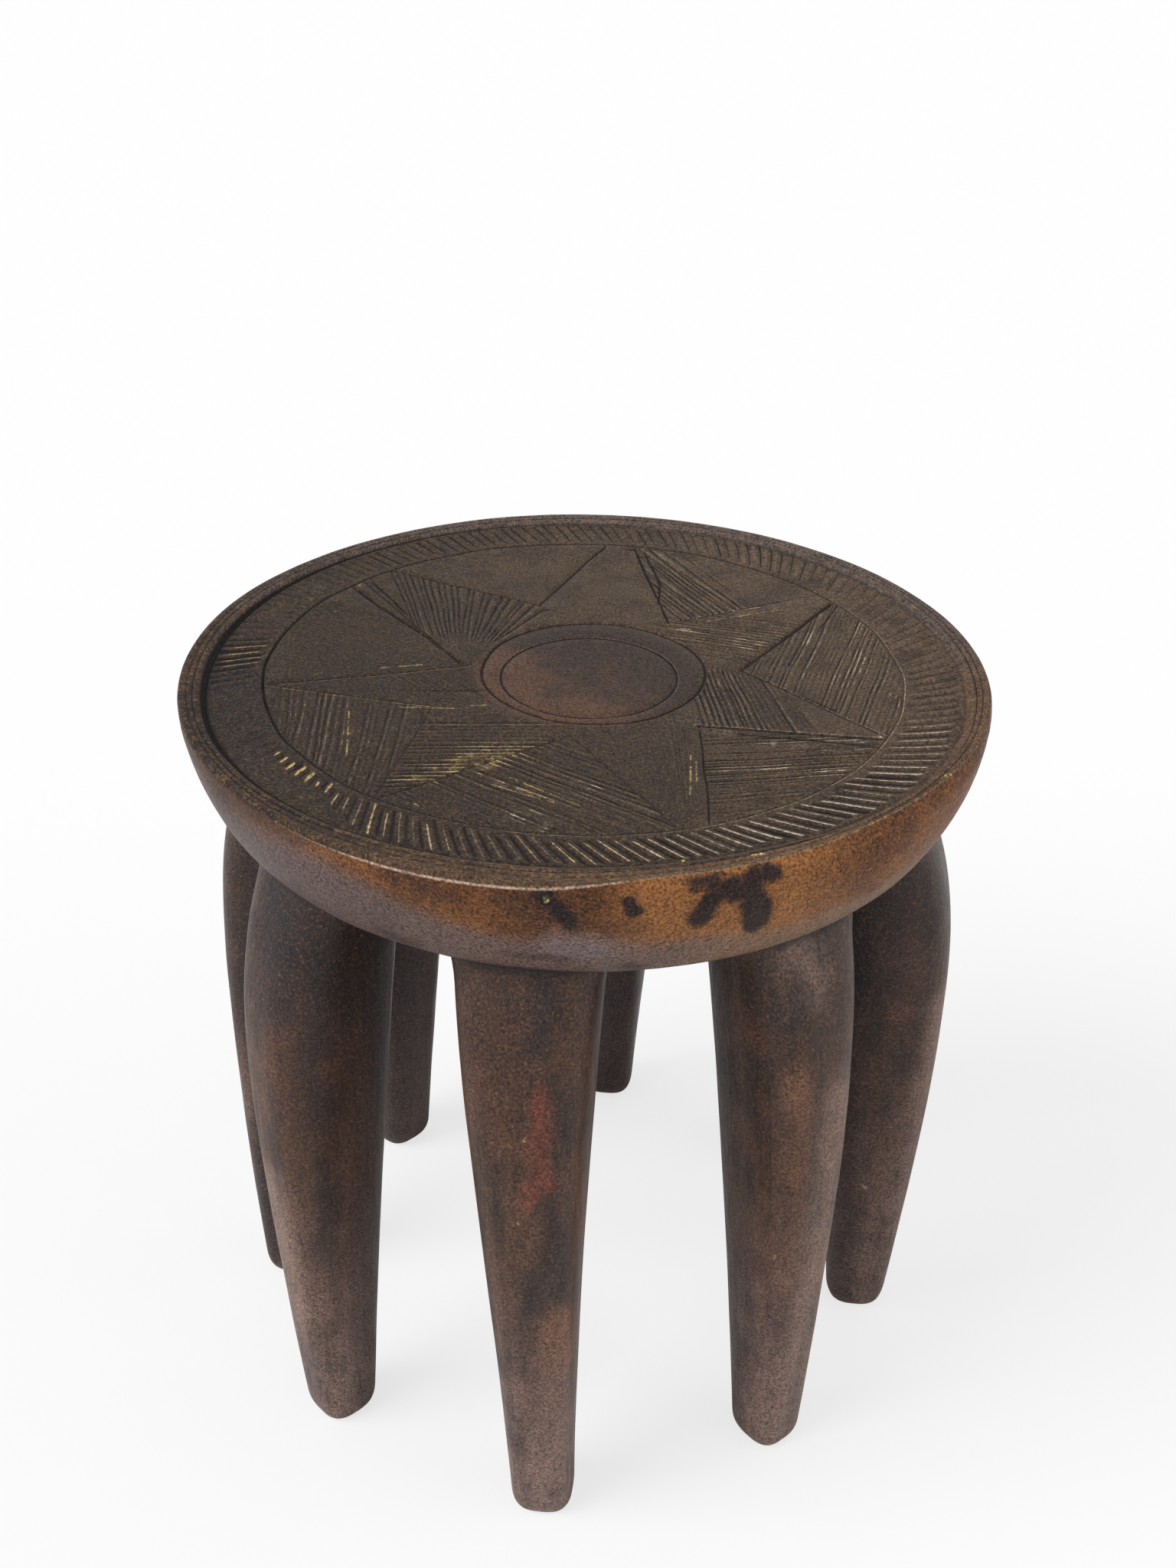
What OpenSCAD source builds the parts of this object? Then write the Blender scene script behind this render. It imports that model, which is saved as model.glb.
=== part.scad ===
// Round carved stool on eight bowed legs, for sitting or as a low table.
// Millimetres, +Z up. The origin is on the floor under the middle of the seat,
// and the front of the stool faces -Y.

/* [Seat] */
// Height from the floor to the crest of the rim
stool_h = 360; // [300:5:420]
// Diameter over the rim
seat_d = 360; // [330:5:420]
// Thickness from the crest of the rim to the flat underside
seat_t = 54; // [44:1:66]
// How far the flat underside is set in from the rim, on the radius
underside_inset = 22; // [16:1:26]
// How far the bowl swells out beyond a straight flank
bowl_swell = 7; // [4:0.5:10]
// Height of the upright edge below the crest, before the bowl curves in
edge_h = 6; // [4:1:12]
// Fall of the top from the border to the middle
dish_depth = 1; // [0:0.5:4]

/* [Rim] */
// Width of the raised rim
rim_w = 12.5; // [9:0.5:16]
// Height of the crest over the border
rim_h = 2.5; // [2:0.5:5]
// Fall of the rim from its crest to its inner lip
rim_fall = 0.5; // [0:0.1:1]
// Radius on the outer edge of the rim
rim_round = 2; // [1:0.5:3]
// Radius on the inner lip of the rim
lip_round = 0.8; // [0.4:0.2:1]
// Width of the channel at the inner foot of the rim
channel_w = 2; // [1.2:0.2:3]
// Depth of that channel below the border
channel_depth = 1.2; // [0.6:0.2:2.4]

/* [Carving] */
// Width of the border between the channel and the star circle
border_w = 22.5; // [18:0.5:28]
// Width of the scribed circles
scribe_w = 1.6; // [1:0.2:2.6]
// Depth of the scribed circles
scribe_depth = 1; // [0.6:0.1:2]
// Diameter of the outer circle of the roundel in the middle
roundel_d = 97; // [84:1:104]
// Distance between the two circles of the roundel
roundel_gap = 9.5; // [6:0.5:14]
// Width of the straight cuts that outline the star
star_cut_w = 2.2; // [1.4:0.2:3]
// Depth of those cuts
star_cut_depth = 1.2; // [0.8:0.1:2]

/* [Legs] */
// Width of a leg across its head, before the flare
head_w = 62; // [52:1:68]
// Depth of a leg at its head, towards the middle of the stool
head_depth = 50; // [42:1:56]
// Width of the flare where a leg meets the underside, on each side
flare_w = 3; // [0:0.5:5]
// Height of that flare
flare_h = 16; // [8:1:30]
// Height of the knee, where a leg bows out most
knee_z = 192; // [150:1:220]
// How far the knee stays inside the rim, on the radius
knee_inset = 3; // [3:0.5:12]
// Width of a leg at the foot
foot_w = 29; // [24:1:36]
// Depth of a leg at the foot
foot_depth = 29; // [24:1:36]
// How far the outer side of a foot is set in from the rim, on the radius
foot_inset = 15; // [8:1:30]
// How far a leg may stand off the common circle, in or out
leg_stray = 5; // [0:0.5:6]
// Height of the rounded toe
toe_h = 10; // [6:1:20]
// Size of the flat sole, as a share of the foot
sole_share = 0.7; // [0.5:0.05:0.8]

/* [Joint] */
// Diameter of the round tenon on the head of each leg
tenon_d = 32; // [24:1:36]
// Length of the tenon
tenon_h = 30; // [16:1:36]
// Radial clearance of the tenon in its mortise
tenon_clearance = 0.1; // [0.05:0.05:0.3]
// Room above the end of the tenon
mortise_room = 1; // [0.5:0.5:3]

/* [Hidden] */
LEGS = ["front_leg", "front_right_leg", "right_leg", "back_right_leg",
        "back_leg", "back_left_leg", "left_leg", "front_left_leg"];

// The legs stand 45 degrees apart, give or take the carver's eye. Each list has
// one value per leg, in the order of LEGS.
front_azimuth = -90;
leg_step = 360 / len(LEGS);
foot_drift = [0, 0.2, -2, -1.5, -1.5, 5, 5, 0.8];
head_drift = [-3.5, -3, -7, -5, -5.5, 4, -6.5, -3];
leg_offset = leg_stray * [0.6, -1, -0.2, 0, 0.6, -0.4, 0.2, 0.2];
leg_girth = [1.01, 0.96, 0.97, 1, 1.01, 1.06, 0.99, 1.01];

// The star as the carver laid it out: the angle of each tip, and the angle of
// each notch after it with its reach from the roundel to the star circle.
star_tips = [39, 84, 143, 193, 239, 293, 340.5];
star_notches = [[59, 0.16], [113, 0.26], [181, 0.05], [213, 0.26], [269, 0.09], [320, 0.2], [369, 0.21]];

seat_r = seat_d / 2;
underside_z = stool_h - seat_t;
underside_r = seat_r - underside_inset;
border_z = stool_h - rim_h;
rim_foot_r = seat_r - rim_w;
border_r = rim_foot_r - channel_w;
star_r = border_r - border_w;
roundel_r = roundel_d / 2;
roundel_inner_r = roundel_r - roundel_gap;

leg_h = underside_z;
head_r = underside_r;
tenon_r = head_r - head_depth / 2;
knee_r = seat_r - knee_inset;
foot_r = seat_r - foot_inset;

section_points = 24;
section_power = 2.2;
toe_steps = 5;
shaft_steps = 15;
flare_steps = 3;
knee_power = 1.5;
neck_power = 3;
girth_power = 1.4;
bowl_steps = 12;
dish_steps = 6;
round_steps = 4;
seat_fn = 128;
tenon_fn = 64;
tenon_root = 6;
overcut = 1;

wood_top = [0.17, 0.12, 0.09];
wood_leg = [0.24, 0.15, 0.11];

// A point of the plan, and a point on a cubic curve with four control points.
function polar(r, angle) = r * [cos(angle), sin(angle)];
function curve(a, b, c, d, t) =
    pow(1 - t, 3) * a + 3 * pow(1 - t, 2) * t * b + 3 * (1 - t) * t * t * c + pow(t, 3) * d;

// Height of the dished top at radius r.
function top_z(r) = border_z - dish_depth * (1 - pow(r / rim_foot_r, 2));

// An arc of radius r about a centre, from one angle to another.
function arc(centre, r, from, to) =
    [for (i = [0:round_steps]) centre + polar(r, from + (to - from) * i / round_steps)];

// The V of a scribed circle at radius r, from outside in.
function scribe(r) = [
    [r + scribe_w / 2, top_z(r + scribe_w / 2)],
    [r, top_z(r) - scribe_depth],
    [r - scribe_w / 2, top_z(r - scribe_w / 2)]];

// The dished surface between two radii, ends left out.
function dish(from, to) =
    [for (i = [1:dish_steps - 1]) let (r = from + (to - from) * i / dish_steps) [r, top_z(r)]];

// The bowl below the rim, from the flat underside out and up to the edge.
function bowl() =
    let (from = [underside_r, underside_z],
         to = [seat_r, stool_h - edge_h],
         run = to - from,
         out = bowl_swell * [run.y, -run.x] / norm(run),
         low = from + run * 0.11 + out * 0.75,
         high = from + run * 0.56 + out)
    [for (i = [0:bowl_steps]) curve(from, low, high, to, i / bowl_steps)];

// The section of the seat, from the middle of the underside round to the top.
function seat_profile() = concat(
    [[0, underside_z]],
    bowl(),
    arc([seat_r - rim_round, stool_h - rim_round], rim_round, 0, 90),
    arc([rim_foot_r + lip_round, stool_h - rim_fall - lip_round], lip_round, 90, 180),
    [[rim_foot_r - channel_w / 2, border_z - channel_depth], [border_r, top_z(border_r)]],
    dish(border_r, star_r + scribe_w / 2),
    scribe(star_r),
    dish(star_r - scribe_w / 2, roundel_r + scribe_w / 2),
    scribe(roundel_r),
    scribe(roundel_inner_r),
    [[roundel_inner_r - scribe_w, top_z(0)], [0, top_z(0)]]);

// Angles of leg i round the stool, at the foot and at the head.
function foot_azimuth(i) = front_azimuth + leg_step * i + foot_drift[i];
function head_azimuth(i) = front_azimuth + leg_step * i + head_drift[i];

// The flare that runs a leg out into the underside.
function flare(z) = flare_w * pow(max(0, z - (leg_h - flare_h)) / flare_h, 2);

// Outer and inner side of leg i at height z, as radii from the stool's axis.
function leg_outer(i, z) =
    let (knee = knee_r + leg_offset[i], foot = foot_r + leg_offset[i])
    z < knee_z
        ? knee - (knee - foot) * pow(1 - z / knee_z, knee_power)
        : knee - (knee - head_r) * pow((z - knee_z) / (leg_h - knee_z), neck_power);
function leg_inner(i, z) =
    let (foot = foot_r + leg_offset[i] - foot_depth, head = head_r - head_depth)
    foot + (head - foot) * z / leg_h - flare(z);

// Half the width of leg i at height z.
function leg_half_w(i, z) =
    leg_girth[i] * (foot_w + (head_w - foot_w) * pow(z / leg_h, girth_power)) / 2 + flare(z);

// The toe draws the section in towards the flat sole.
function toe(z) =
    z >= toe_h ? 1 : sole_share + (1 - sole_share) * sqrt(1 - pow(1 - z / toe_h, 2));

// A closed section with soft corners, of half sizes a and b.
function corner(t) =
    pow(pow(abs(cos(t)), section_power) + pow(abs(sin(t)), section_power), -1 / section_power);
function section(a, b) =
    [for (k = [0:section_points - 1])
        let (t = 360 * k / section_points) corner(t) * [a * cos(t), b * sin(t)]];

// The ring of points round leg i at height z.
function leg_ring(i, z) =
    let (outer = leg_outer(i, z),
         inner = leg_inner(i, z),
         az = foot_azimuth(i) + (head_azimuth(i) - foot_azimuth(i)) * z / leg_h)
    [for (p = section((outer - inner) / 2, leg_half_w(i, z)) * toe(z))
        let (x = (outer + inner) / 2 + p.x)
        [x * cos(az) - p.y * sin(az), x * sin(az) + p.y * cos(az), z]];

// Heights of the rings, close together on the toe and the flare.
leg_levels = concat(
    [for (i = [0:toe_steps]) toe_h * (1 - cos(90 * i / toe_steps))],
    [for (i = [1:shaft_steps]) toe_h + (leg_h - flare_h - toe_h) * i / shaft_steps],
    [for (i = [1:flare_steps]) leg_h - flare_h + flare_h * i / flare_steps]);

// Faces of a tube of rings with n points each: a cap, the sides and a cap.
function tube_faces(rings, n) = concat(
    [[for (k = [0:n - 1]) k]],
    [for (i = [0:rings - 2], k = [0:n - 1], half = [0:1])
        let (a = i * n + k, b = i * n + (k + 1) % n)
        half == 0 ? [a, a + n, b] : [b, a + n, b + n]],
    [[for (k = [n - 1:-1:0]) (rings - 1) * n + k]]);

module leg_shaft(i) {
    points = [for (z = leg_levels) each leg_ring(i, z)];
    polyhedron(points, tube_faces(len(leg_levels), section_points), convexity = 4);
}

// Puts its children over the middle of the head of leg i, on the underside.
module at_head(i) {
    rotate([0, 0, head_azimuth(i)])
        translate([tenon_r, 0, underside_z])
            children();
}

module leg(i) {
    color(wood_leg) {
        leg_shaft(i);
        at_head(i)
            translate([0, 0, -tenon_root])
                cylinder(d = tenon_d, h = tenon_root + tenon_h, $fn = tenon_fn);
    }
}

module mortise(i) {
    at_head(i)
        translate([0, 0, -overcut])
            cylinder(d = tenon_d + 2 * tenon_clearance,
                     h = overcut + tenon_h + mortise_room, $fn = tenon_fn);
}

// A straight V cut in the dished top, which runs on past both points by its own width.
module star_cut(from, to) {
    a = [from.x, from.y, top_z(norm(from))];
    run = [to.x, to.y, top_z(norm(to))] - a;
    level = norm([run.x, run.y]);
    w = star_cut_w;
    d = star_cut_depth;
    translate(a)
        rotate([0, -atan2(run.z, level), atan2(run.y, run.x)])
            translate([-w, 0, 0])
                rotate([90, 0, 90])
                    linear_extrude(height = norm(run) + 2 * w)
                        polygon([[-w, d], [w, d], [0, -d]]);
}

// The outline of the star: from each tip down to its notch and up to the next tip.
module star() {
    for (k = [0:len(star_tips) - 1]) {
        notch = polar(roundel_r + (star_r - roundel_r) * star_notches[k][1], star_notches[k][0]);
        star_cut(polar(star_r, star_tips[k]), notch);
        star_cut(polar(star_r, star_tips[(k + 1) % len(star_tips)]), notch);
    }
}

module seat() {
    color(wood_top)
        difference() {
            rotate_extrude($fn = seat_fn) polygon(seat_profile());
            for (i = [0:len(LEGS) - 1]) mortise(i);
            star();
        }
}

seat();
for (i = [0:len(LEGS) - 1])
    leg(i);
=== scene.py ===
# Carved stool: a dished seat with a chip-cut border and a seven-pointed star, on eight bowed legs.
# Modelled in millimetres and brought to metres at the end of each piece.
import bpy, bmesh, math, random
from functools import reduce
from mathutils import Matrix, Vector
from mathutils.noise import noise


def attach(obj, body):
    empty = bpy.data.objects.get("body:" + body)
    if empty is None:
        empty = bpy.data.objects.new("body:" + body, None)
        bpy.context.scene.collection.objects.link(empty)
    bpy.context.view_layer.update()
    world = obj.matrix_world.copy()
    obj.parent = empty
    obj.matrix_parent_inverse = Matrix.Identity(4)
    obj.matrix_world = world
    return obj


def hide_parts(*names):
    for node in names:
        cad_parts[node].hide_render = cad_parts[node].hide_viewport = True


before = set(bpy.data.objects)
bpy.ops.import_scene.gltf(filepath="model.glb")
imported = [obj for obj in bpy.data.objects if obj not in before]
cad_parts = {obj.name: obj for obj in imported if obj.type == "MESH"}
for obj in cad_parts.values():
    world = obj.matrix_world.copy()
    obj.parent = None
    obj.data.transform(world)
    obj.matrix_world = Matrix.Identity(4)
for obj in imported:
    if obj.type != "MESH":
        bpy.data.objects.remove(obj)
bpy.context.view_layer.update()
scene = bpy.context.scene
scene.view_settings.view_transform = "Standard"
mm = .001
viewTurn = math.radians(5)   # the carving is laid out as the viewer sees it, turned by this

# Camera: a little above the seat, tipped down
view = {"place": (.0664, -.7595, .7417), "lens": 43.66, "down": 30.149, "yaw": -4.861, "roll": 1.0466}
down, yaw, roll = (math.radians(view[k]) for k in ("down", "yaw", "roll"))
ahead = Vector((math.sin(yaw) * math.cos(down), math.cos(yaw) * math.cos(down), -math.sin(down)))
level = Vector((math.cos(yaw), -math.sin(yaw), 0))
upright = level.cross(ahead)
right = math.cos(roll) * level + math.sin(roll) * upright
up = math.cos(roll) * upright - math.sin(roll) * level
camera = bpy.data.objects.new("camera", bpy.data.cameras.new("camera"))
camera.data.lens, camera.data.sensor_width = view["lens"], 36
camera.matrix_world = Matrix.Translation(view["place"]) @ Matrix((right, up, -ahead)).transposed().to_4x4()
scene.collection.objects.link(camera)
scene.camera = camera
print("camera set")


# Helpers for shapes
def lerp(a, b, t):
    return a + (b - a) * t


def clamp(value):
    return min(1, max(0, value))


def onTable(table, t):   # value at share t of a list, straight between its entries
    at = clamp(t) * (len(table) - 1)
    low = min(int(at), len(table) - 2)
    return lerp(table[low], table[low + 1], at - low)


def around(table, degrees):   # the same, once round the circle
    at = degrees % 360 / 360 * len(table)
    low = int(at) % len(table)
    return lerp(table[low], table[(low + 1) % len(table)], at - int(at))


def fromPlan(x, y):   # from the viewer's plan to the stool
    cos, sin = math.cos(viewTurn), math.sin(viewTurn)
    return Vector((x * cos - y * sin, x * sin + y * cos, 0))


def polar(degrees, radius, z=0):
    turn = math.radians(degrees)
    return Vector((radius * math.cos(turn), radius * math.sin(turn), z))


def leftOf(along):
    return Vector((-along.y, along.x, 0))


def vertsOf(edges):
    return {v for e in edges for v in e.verts}


def firstRing(bm, columns, place, filled=False):   # numbers the columns; place(column) says where each is
    column = bm.verts.layers.int.new("column")
    bmesh.ops.create_circle(bm, cap_ends=filled, segments=columns, radius=10)
    for v in bm.verts:
        v[column] = round(math.atan2(v.co.y, v.co.x) / math.tau * columns) % columns
        v.co = place(v[column])
    return bm.edges[:], column


def growRing(bm, edges, place):   # extrudes a loop; place(column) gives each new vertex its position
    column = bm.verts.layers.int["column"]
    grown = bmesh.ops.extrude_edge_only(bm, edges=edges)["geom"]
    fresh = [v for v in grown if isinstance(v, bmesh.types.BMVert)]
    kept = [v for v in fresh if v[column] >= 0]
    if len(kept) < len(fresh):   # corners that the cuts left on the old loop go no further
        bmesh.ops.dissolve_verts(bm, verts=[v for v in fresh if v[column] < 0])
    for v in kept:
        v.co = place(v[column])
    return list({e for v in kept for e in v.link_edges if e.is_boundary})


def placed(bm, name, material):   # makes the mesh an object of the scene
    mesh = bpy.data.meshes.new(name)
    bm.to_mesh(mesh)
    bm.free()
    mesh.materials.append(material)
    made = bpy.data.objects.new(name, mesh)
    scene.collection.objects.link(made)
    return made


def finish(bm, name, material):   # closes the modelling of a piece and hands it over
    bmesh.ops.recalc_face_normals(bm, faces=bm.faces[:])
    bmesh.ops.scale(bm, vec=[mm] * 3, verts=bm.verts[:])
    for f in bm.faces:
        f.smooth = True
    piece = placed(bm, name, material)
    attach(piece, "root")
    return piece


# Seat, in millimetres, and in degrees counter-clockwise from the right. A list of 24 or 12 values goes once round
# the seat, with a value for every 15 or 30 degrees.
seat = {
    "columns": 624, "radius": 180, "underside": 306, "undersideRings": (153, 140, 105, 60, 20),
    "middle": 356.5, "dish": 1, "borderRadius": 165.5,   # height in the middle, and rise at the border
    "starCircle": 142.5, "circleShift": 3, "circleTowards": 120, "circleBroadAt": 190,
    # channel: radius, then force for its depth and for the painted shade in it
    "channel": [168, 168.5, 169.5, 170.3, 170.8, 171, 171, 171, 170.8, 170.3, 169.8, 169.2,
                168.7, 168.9, 169.8, 169, 167, 165, 163.7, 162.2, 161.8, 165.5, 167, 167.7],
    "channelForce": [.25, .35, .5, .6, .7, .95, 1.3, 1.2, .5, .35, .3, .2],
    # crest: how far it is worn in from the outer edge, the brightness of its painted highlight and worn flecks,
    # and how far over it the dark of the top reaches, below 0 where it ends short of it
    "crestWear": [.3, 0, 0, 0, 0, 0, 0, 0, .6, .8, .5, 0, 0, 0, .5, .5, 0, 0, 0, 3.5, 5, 7, 5.5, 2.2],
    "crestHighlightAndWear": [.3, .3, .2, .2, .2, .2, .2, .2, .2, .2, .1, .1,
                 .1, .1, .1, .15, .6, 1, 1, .6, .65, .6, .55, .4],
    "darkEnd": [.5, .5, .5, .5, .5, .5, .5, .5, .5, .5, .5, .5,
                1, 1.5, 1.5, 1.2, 2.2, 2.5, 1.6, -1.5, -.8, -.4, -.3, .3],
    # how pale the rim is, then brightness along the outside of the channel and of the circle round the star
    "rimTone": [.72, .72, .82, .9, .9, .5, .25, .12, .25, .62, 1, .68],
    "channelRub": [0, 0, 0, .2, .3, 0, 0, 0, .4, 1, .7, .3],
    "circleRub": [1, .7, 0, 0, 0, 0, 0, 0, .5, 1, 1, 1],
    # side of the bowl as a curve of four points, radius and height
    "bowl": [(180, 354), (176.68, 329.96), (165.19, 309.09), (158, 306)], "bowlRows": 24,
    "outerCircle": (50, 3, 1.5), "innerCircle": (39.6, 1.7, -3.8),   # radius, and where the middle lies
    # rings over each groove of the roundel and the star circle: step in radius, depth, mark, wear
    "outerGroove": [(.5, .6, -.6, 0), (0, 1, -1, 0), (-.5, .6, -.6, 0), (-1, 0, 0, 0)],
    "innerGroove": [(1.1, 0, 0, 0), (.75, .1, 1, 1), (.5, .45, -.5, 0), (0, .8, -1, 0), (-.5, .5, -.6, 0),
                    (-1.1, 0, 0, 0)],
    "circleGroove": [(-.85, .1, 0), (-.4, .5, -.7), (0, .8, -1), (.4, .4, -.5), (.75, .05, 1.5), (1.2, 0, 0)],
    "disc": [(34, .9), (28, .7), (20, .4), (10, 0), (3, 0)],   # radius, and share of the inner circle's shift
    # channel and rim: step in radius, share of the way over the rim, height (depth in the channel), mark
    "rim": [(-1.4, 0, 0, 0), (-.7, 0, -.8, -.7), (0, 0, -1.3, -1), (.6, 0, 357.2, -.6), (1, 0, 358.4, 0),
            (1.9, 0, 359.2, .5), (2.8, 0, 359.5, .3), (-.6, .42, 359.6, 0), (0, .42, 359, -.8),
            (.6, .42, 359.65, 0), (-.5, .66, 359.75, 0), (0, .66, 359.25, -.7), (.5, .66, 359.8, 0),
            (0, .82, 360, .4)],
    # crest: way over it, radius, height, share of the wear
    "crest": [(-1.6, 178.6, 360, 1), (-1, 179.1, 359.9, 1), (-.5, 179.4, 359.7, .97), (0, 179.65, 359.3, .93),
              (.5, 179.8, 358.8, .87), (1, 179.93, 358.25, .8), (1.5, 180, 357.7, .72), (2, 180, 357.2, .66),
              (2.6, 180, 356.6, .6), (3.3, 180, 355.8, .5), (4.2, 180, 354.9, .38), (5, 180, 354, .3)],
}
# Border of slanting cuts between the star circle and the channel, in the same measures
border = {
    "cuts": 156, "depth": 1.05, "middle": 155, "rows": (.04, .12, .25, .5, .75, .88, .96),
    "spread": 5.7, "closestAt": 315, "uneven": .2, "unevenWidth": (.85, 1.2),   # wider apart at the front right
    "start": (0, .14), "end": (.93, 1.06), "force": (.75, 1.15), "ridgeForce": (.6, 1.2),
    "shortAt": 221, "shortReach": 18, "shortEnd": .32,   # only short nicks are left at the lower left
    # cuts: width, slant with the outer end turned counter-clockwise, and depth
    "width": [3.4, 2.2, 1.8, 1.7, 1.8, 2, 3.2, 2.4, 2.9, 3.2, 3.7, 3.9],
    "slant": [24, 27, 31, 22, 9, 2, 22, 12, 30, 35, 32, 31],
    "share": [.6, .5, .5, .6, .9, .75, .9, 1, 1, .9, .5, .25,
              1.1, .12, .08, .25, .8, .75, .75, .8, .85, .8, .75, .65],
    # ridges between them: brightness where worn, and how much paler they are than the ground
    "rub": [.5, .3, .2, .15, .1, .1, .1, .1, .1, .1, .1, .15, 1.2, .1, .2, .5, 1, .6, .8, 1.1, 1.3, 1.3, 1.2, 1],
    "pale": [1, .9, .7, .5, .35, .25, .8, .2, .8, 1, 1.1, 1.1],
}
# Azimuth of every column of vertices: one side of a cut, its middle, its other side, and the ridge after it
rng = random.Random(11)
columnTurn = []
for k in range(border["cuts"]):
    even = 360 * k / border["cuts"]
    centre = even + border["spread"] * (math.sin(math.radians(even - border["closestAt"])) + .707) \
        + rng.uniform(-border["uneven"], border["uneven"])
    half = math.degrees(around(border["width"], centre) / 2 / border["middle"])
    half *= rng.uniform(*border["unevenWidth"])
    columnTurn += [centre - half, centre, centre + half, 0]
for k in range(border["cuts"]):
    after = columnTurn[(4 * k + 4) % seat["columns"]] + (360 if k == border["cuts"] - 1 else 0)
    columnTurn[4 * k + 3] = (columnTurn[4 * k + 2] + after) / 2
cutStart, cutEnd, cutForce, ridgeForce = (
    [rng.uniform(*border[key]) for k in range(border["cuts"])] for key in ("start", "end", "force", "ridgeForce"))


def topHeight(radius):
    return seat["middle"] + seat["dish"] * (radius / seat["borderRadius"]) ** 2


def channelRadius(degrees):
    return around(seat["channel"], degrees)


# painted shade of the channel, spread over the border and the rim at the left
def channelDrop(degrees):   # how far the channel's dark side spreads
    return max(0, around(seat["channelForce"], degrees) - .9) / .4


def circleRadius(degrees):   # the circle round the star lies a little off the middle
    return seat["starCircle"] + seat["circleShift"] * math.cos(math.radians(degrees - seat["circleTowards"]))


def skewed(degrees, radius):   # azimuth of a column at this radius of the border
    return degrees + math.degrees(math.tan(math.radians(around(border["slant"], degrees)))
                                  * math.log(max(1, radius / circleRadius(degrees))))


def columnPoint(column, radius, middle=(0, 0)):
    return polar(columnTurn[column], radius) + Vector((*middle, 0))


# Outline of the star. Each point has two edges: azimuth on the star circle, then azimuth and share of the
# notch where the edge ends, width and depth of the cut, and 1 where a bright line runs beside it. Clockwise first.
starEdges = [
    ("third", [38.5, 9, .21, 3, 1.5], [43, 59, .16, 1.4, .45, 1]),
    ("second", [85.5, 59, .16, 1.9, 1.3], [91.5, 113, .26, 1.8, 1.1]),
    ("first", [137, 113, .26, 1.5, .6], [144.5, 181, .05, 1.4, .6]),
    ("seventh", [192.5, 181, .05, 1.5, .5, 1], [192.5, 213, .26, 1.4, .4, 1]),
    ("sixth", [239.3, 213, .26, 1.4, .45], [239.3, 269, .09, 1.4, .5]),
    ("fifth", [290.8, 269, .09, 1.4, .45], [295.2, 320, .2, 1.3, .7]),
    ("fourth", [340.5, 320, .2, 2.2, 1.2, 1], [340.5, 369, .21, 1.5, .6, 1]),
]
# Rows of parallel or fanning cuts in each field: start and end of the first cut, start and end of the last,
# how many, how deep along the row, and the share of the spacing that a cut takes. Then places without cuts,
# with their reach. Viewer's plan, millimetres.
hatching = {
    "first": [(-95, 95), (-85, 60), (-27.5, 56.5), (-35, 42), 21, [.8, .9, .85, .75, .7], .55, (-62, 18, 22)],
    "second-first": [(-78, 111.5), (-59, 78), (-13, 126), (-18, 95), 22, [.22, .2, .18], .5],
    "second": [(28, 120), (24, 60), (-4, 110), (-8, 60), 14, [.16, .12], .5],
    "third-second": [(36, 72), (45.5, 55), (90, 114), (105.5, 85), 24, [.8, .95, .9, .8, .3, .2, .25, .2], .5],
    "third": [(66, 66), (111.5, 56.5), (54, 20.5), (71, 13), 18, [.4, .5, .6, .5], .5],
    "fourth-third": [(70, 6), (86, 57), (131, -50), (146, 2), 32, [.4, .6, .65, .6, .6, .5], .5],
    "fourth": [(45, 6), (51.5, -50.5), (85, -6), (97, -51.5), 18, [.95, .9, .8, .6, .5, .4], .5],
    "fifth-fourth": [(49, -59.5), (125, -51.5), (50.5, -129.5), (102, -119), 26, [.5, .55, .55, .45], .55],
    "fifth": [(42, -60), (42, -110), (2, -62), (18, -100), 16, [.3, .25], .5],
    "sixth-fifth": [(-9.5, -66), (35, -97), (-71, -115), (-42, -137), 24, [.35, .5, .55, .5, .35, .25], .5],
    "sixth": [(-62.5, -50.5), (6, -47), (-80.5, -107.5), (-68.5, -106), 19, [.45, .5, .55, .55], .55],
    "seventh-sixth": [(-133, -25), (-130, -56.5), (-66, -39.5), (-69, -102), 22, [.5, .55, .5, .4], .5],
    "seventh": [(-60, 3.5), (-42, -14.5), (-132, -9.5), (-122.5, -25), 24, [.3, .3, .25], .5],
    "first-seventh": [(-70, 40), (-96, 52), (-128, 2), (-134, 20), 24, [.3, .22], .5],
}
carving = {"crossStep": 4, "force": (.45, 1.2), "warp": .9, "warpSize": 26, "shake": .22}
# Single cuts beside the outline: points in the viewer's plan, then width and depth
strokes = [
    ([(-116, 91), (-99, 66), (-78, 39.5), (-55, 5)], 2.8, 1.8),
    ([(-107, 97), (-95, 76), (-84, 55)], 1.8, 1.1),
    ([(28, 139), (35.5, 99.5), (34, 71)], 2, 1.1),
    ([(123, 82), (116, 63), (108, 46)], 1.4, .6),
    ([(92.5, -17), (111.5, -36)], 1.6, .7),
    ([(49, -51.5), (71, -56.5), (125, -65)], 1.6, .6),
    ([(-75, -21), (-42, -19)], 1.4, .6),
]
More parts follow.
